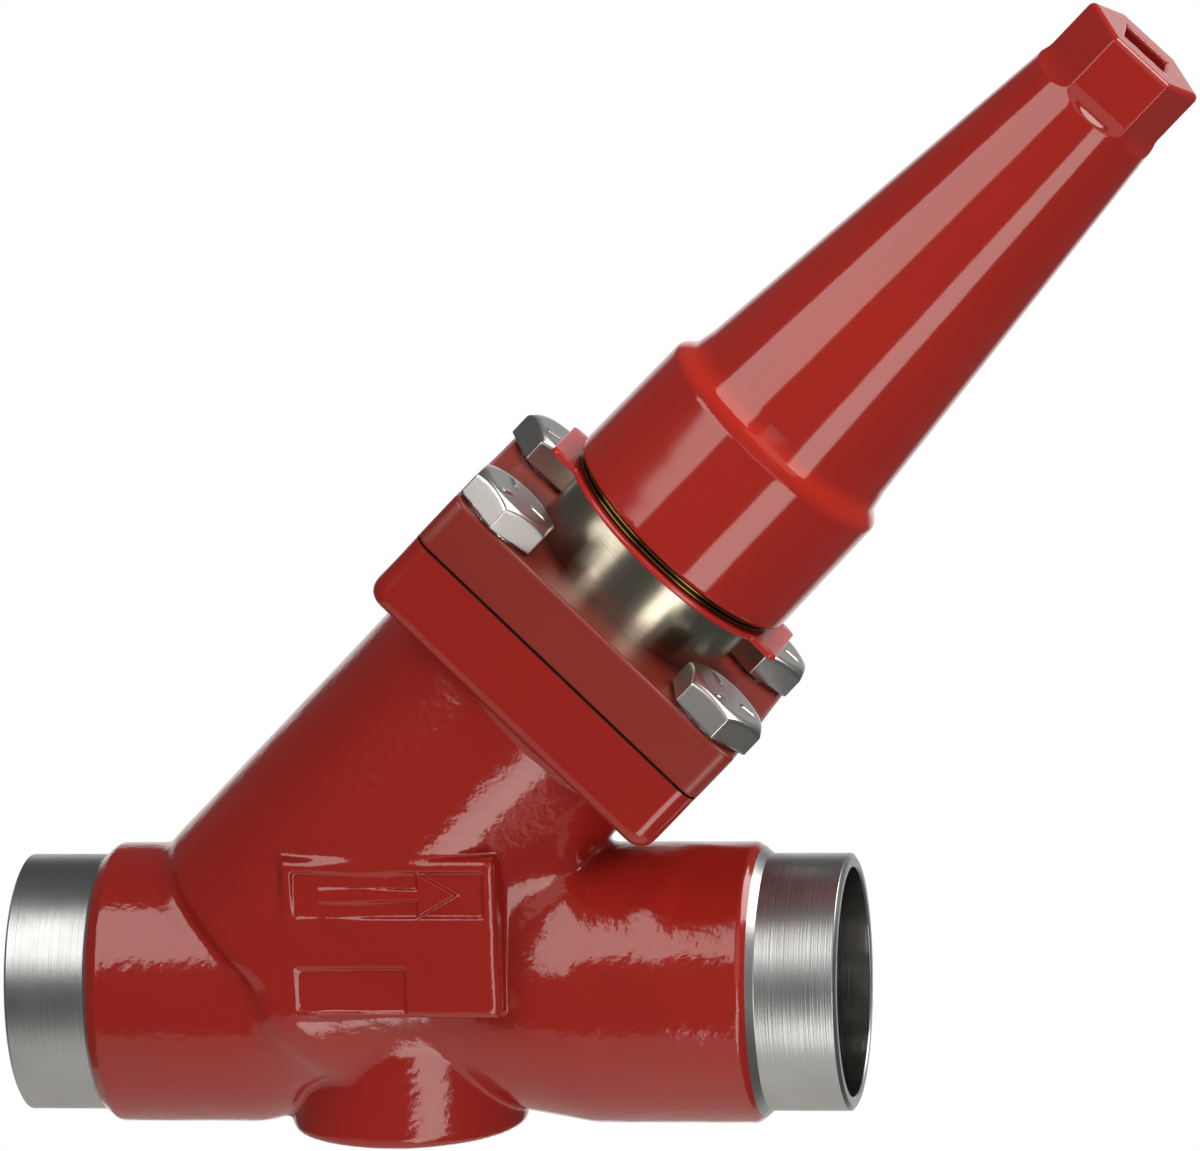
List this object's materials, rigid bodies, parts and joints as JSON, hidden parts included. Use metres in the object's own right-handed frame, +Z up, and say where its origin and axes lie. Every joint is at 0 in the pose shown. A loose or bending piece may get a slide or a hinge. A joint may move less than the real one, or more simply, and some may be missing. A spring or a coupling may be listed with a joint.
{
  "type": "shut-off valve",
  "caption": "Straight shut-off valve with weld ends, a square bolted bonnet leaning at 45 degrees and a long tapered seal cap that screws over the rising spindle.",
  "frame": {"origin": "centre of the left (inlet) weld face, on the pipe axis", "axes": "+X along the pipe towards the outlet, +Y away from the marked side, +Z up; the bonnet axis leans 45 degrees from +Z towards +X"},
  "size_m": [0.2273, 0.0726, 0.2117],
  "materials": {
    "red_body_paint": "glossy red paint over a fine cast skin",
    "red_cap_paint": "smooth glossy red paint over turned steel",
    "red_ring_paint": "glossy red paint on thin sheet",
    "bonnet_steel": "glossy red paint, bare turned steel on the neck",
    "zinc_bolts": "bright zinc plate",
    "turned_steel": "bare turned steel",
    "spindle_steel": "ground stainless steel",
    "gasket_fibre": "pressed fibre sheet",
    "packing_graphite": "pressed graphite",
    "black_rubber": "moulded black rubber",
    "seal_plastic": "plain off-white seal plastic",
    "cap_seal_rubber": "dark fibre-filled rubber"
  },
  "bodies": {
    "housing": {"valve_body": "red_body_paint", "bonnet": "bonnet_steel", "bonnet_gasket": "gasket_fibre", "bonnet_bolts": "zinc_bolts", "marking_ring": "red_ring_paint", "packing_washer": "turned_steel", "packing_rings": "packing_graphite", "packing_gland": "turned_steel", "gland_o_ring": "black_rubber", "spindle_o_ring": "black_rubber", "stem_wiper": "black_rubber"},
    "closing_cone": {"cone": "turned_steel", "cone_seal_ring": "seal_plastic", "seal_clamp_disc": "turned_steel", "clamp_screw": "zinc_bolts", "cone_lock_ring": "spindle_steel", "disc_springs": "spindle_steel", "thrust_washer": "turned_steel"},
    "turning_spindle": {"spindle": "spindle_steel"},
    "cap_seal": {"cap_gasket": "cap_seal_rubber"},
    "seal_cap": {"cap": "red_cap_paint"}
  },
  "joints": [
    {"name": "cone_travel", "type": "slide", "parent": "housing", "child": "closing_cone", "axis": [0.7071, 0, 0.7071], "range_m": [0, 0.016]},
    {"name": "spindle_turn", "type": "hinge", "parent": "closing_cone", "child": "turning_spindle", "pos_m": [0.043, 0, 0], "axis": [0.7071, 0, 0.7071], "range_deg": [0, 2880]},
    {"name": "cap_travel", "type": "slide", "parent": "housing", "child": "cap_seal", "axis": [0.7071, 0, 0.7071], "range_m": [0, 0.016]},
    {"name": "cap_turn", "type": "hinge", "parent": "cap_seal", "child": "seal_cap", "pos_m": [0.043, 0, 0], "axis": [0.7071, 0, 0.7071], "range_deg": [0, 2880]}
  ],
  "couplings": [
    {"joint": "spindle_turn", "follows": "cone_travel", "rad_per_m": 3141.6},
    {"joint": "cap_turn", "follows": "cap_travel", "rad_per_m": 3141.6}
  ]
}
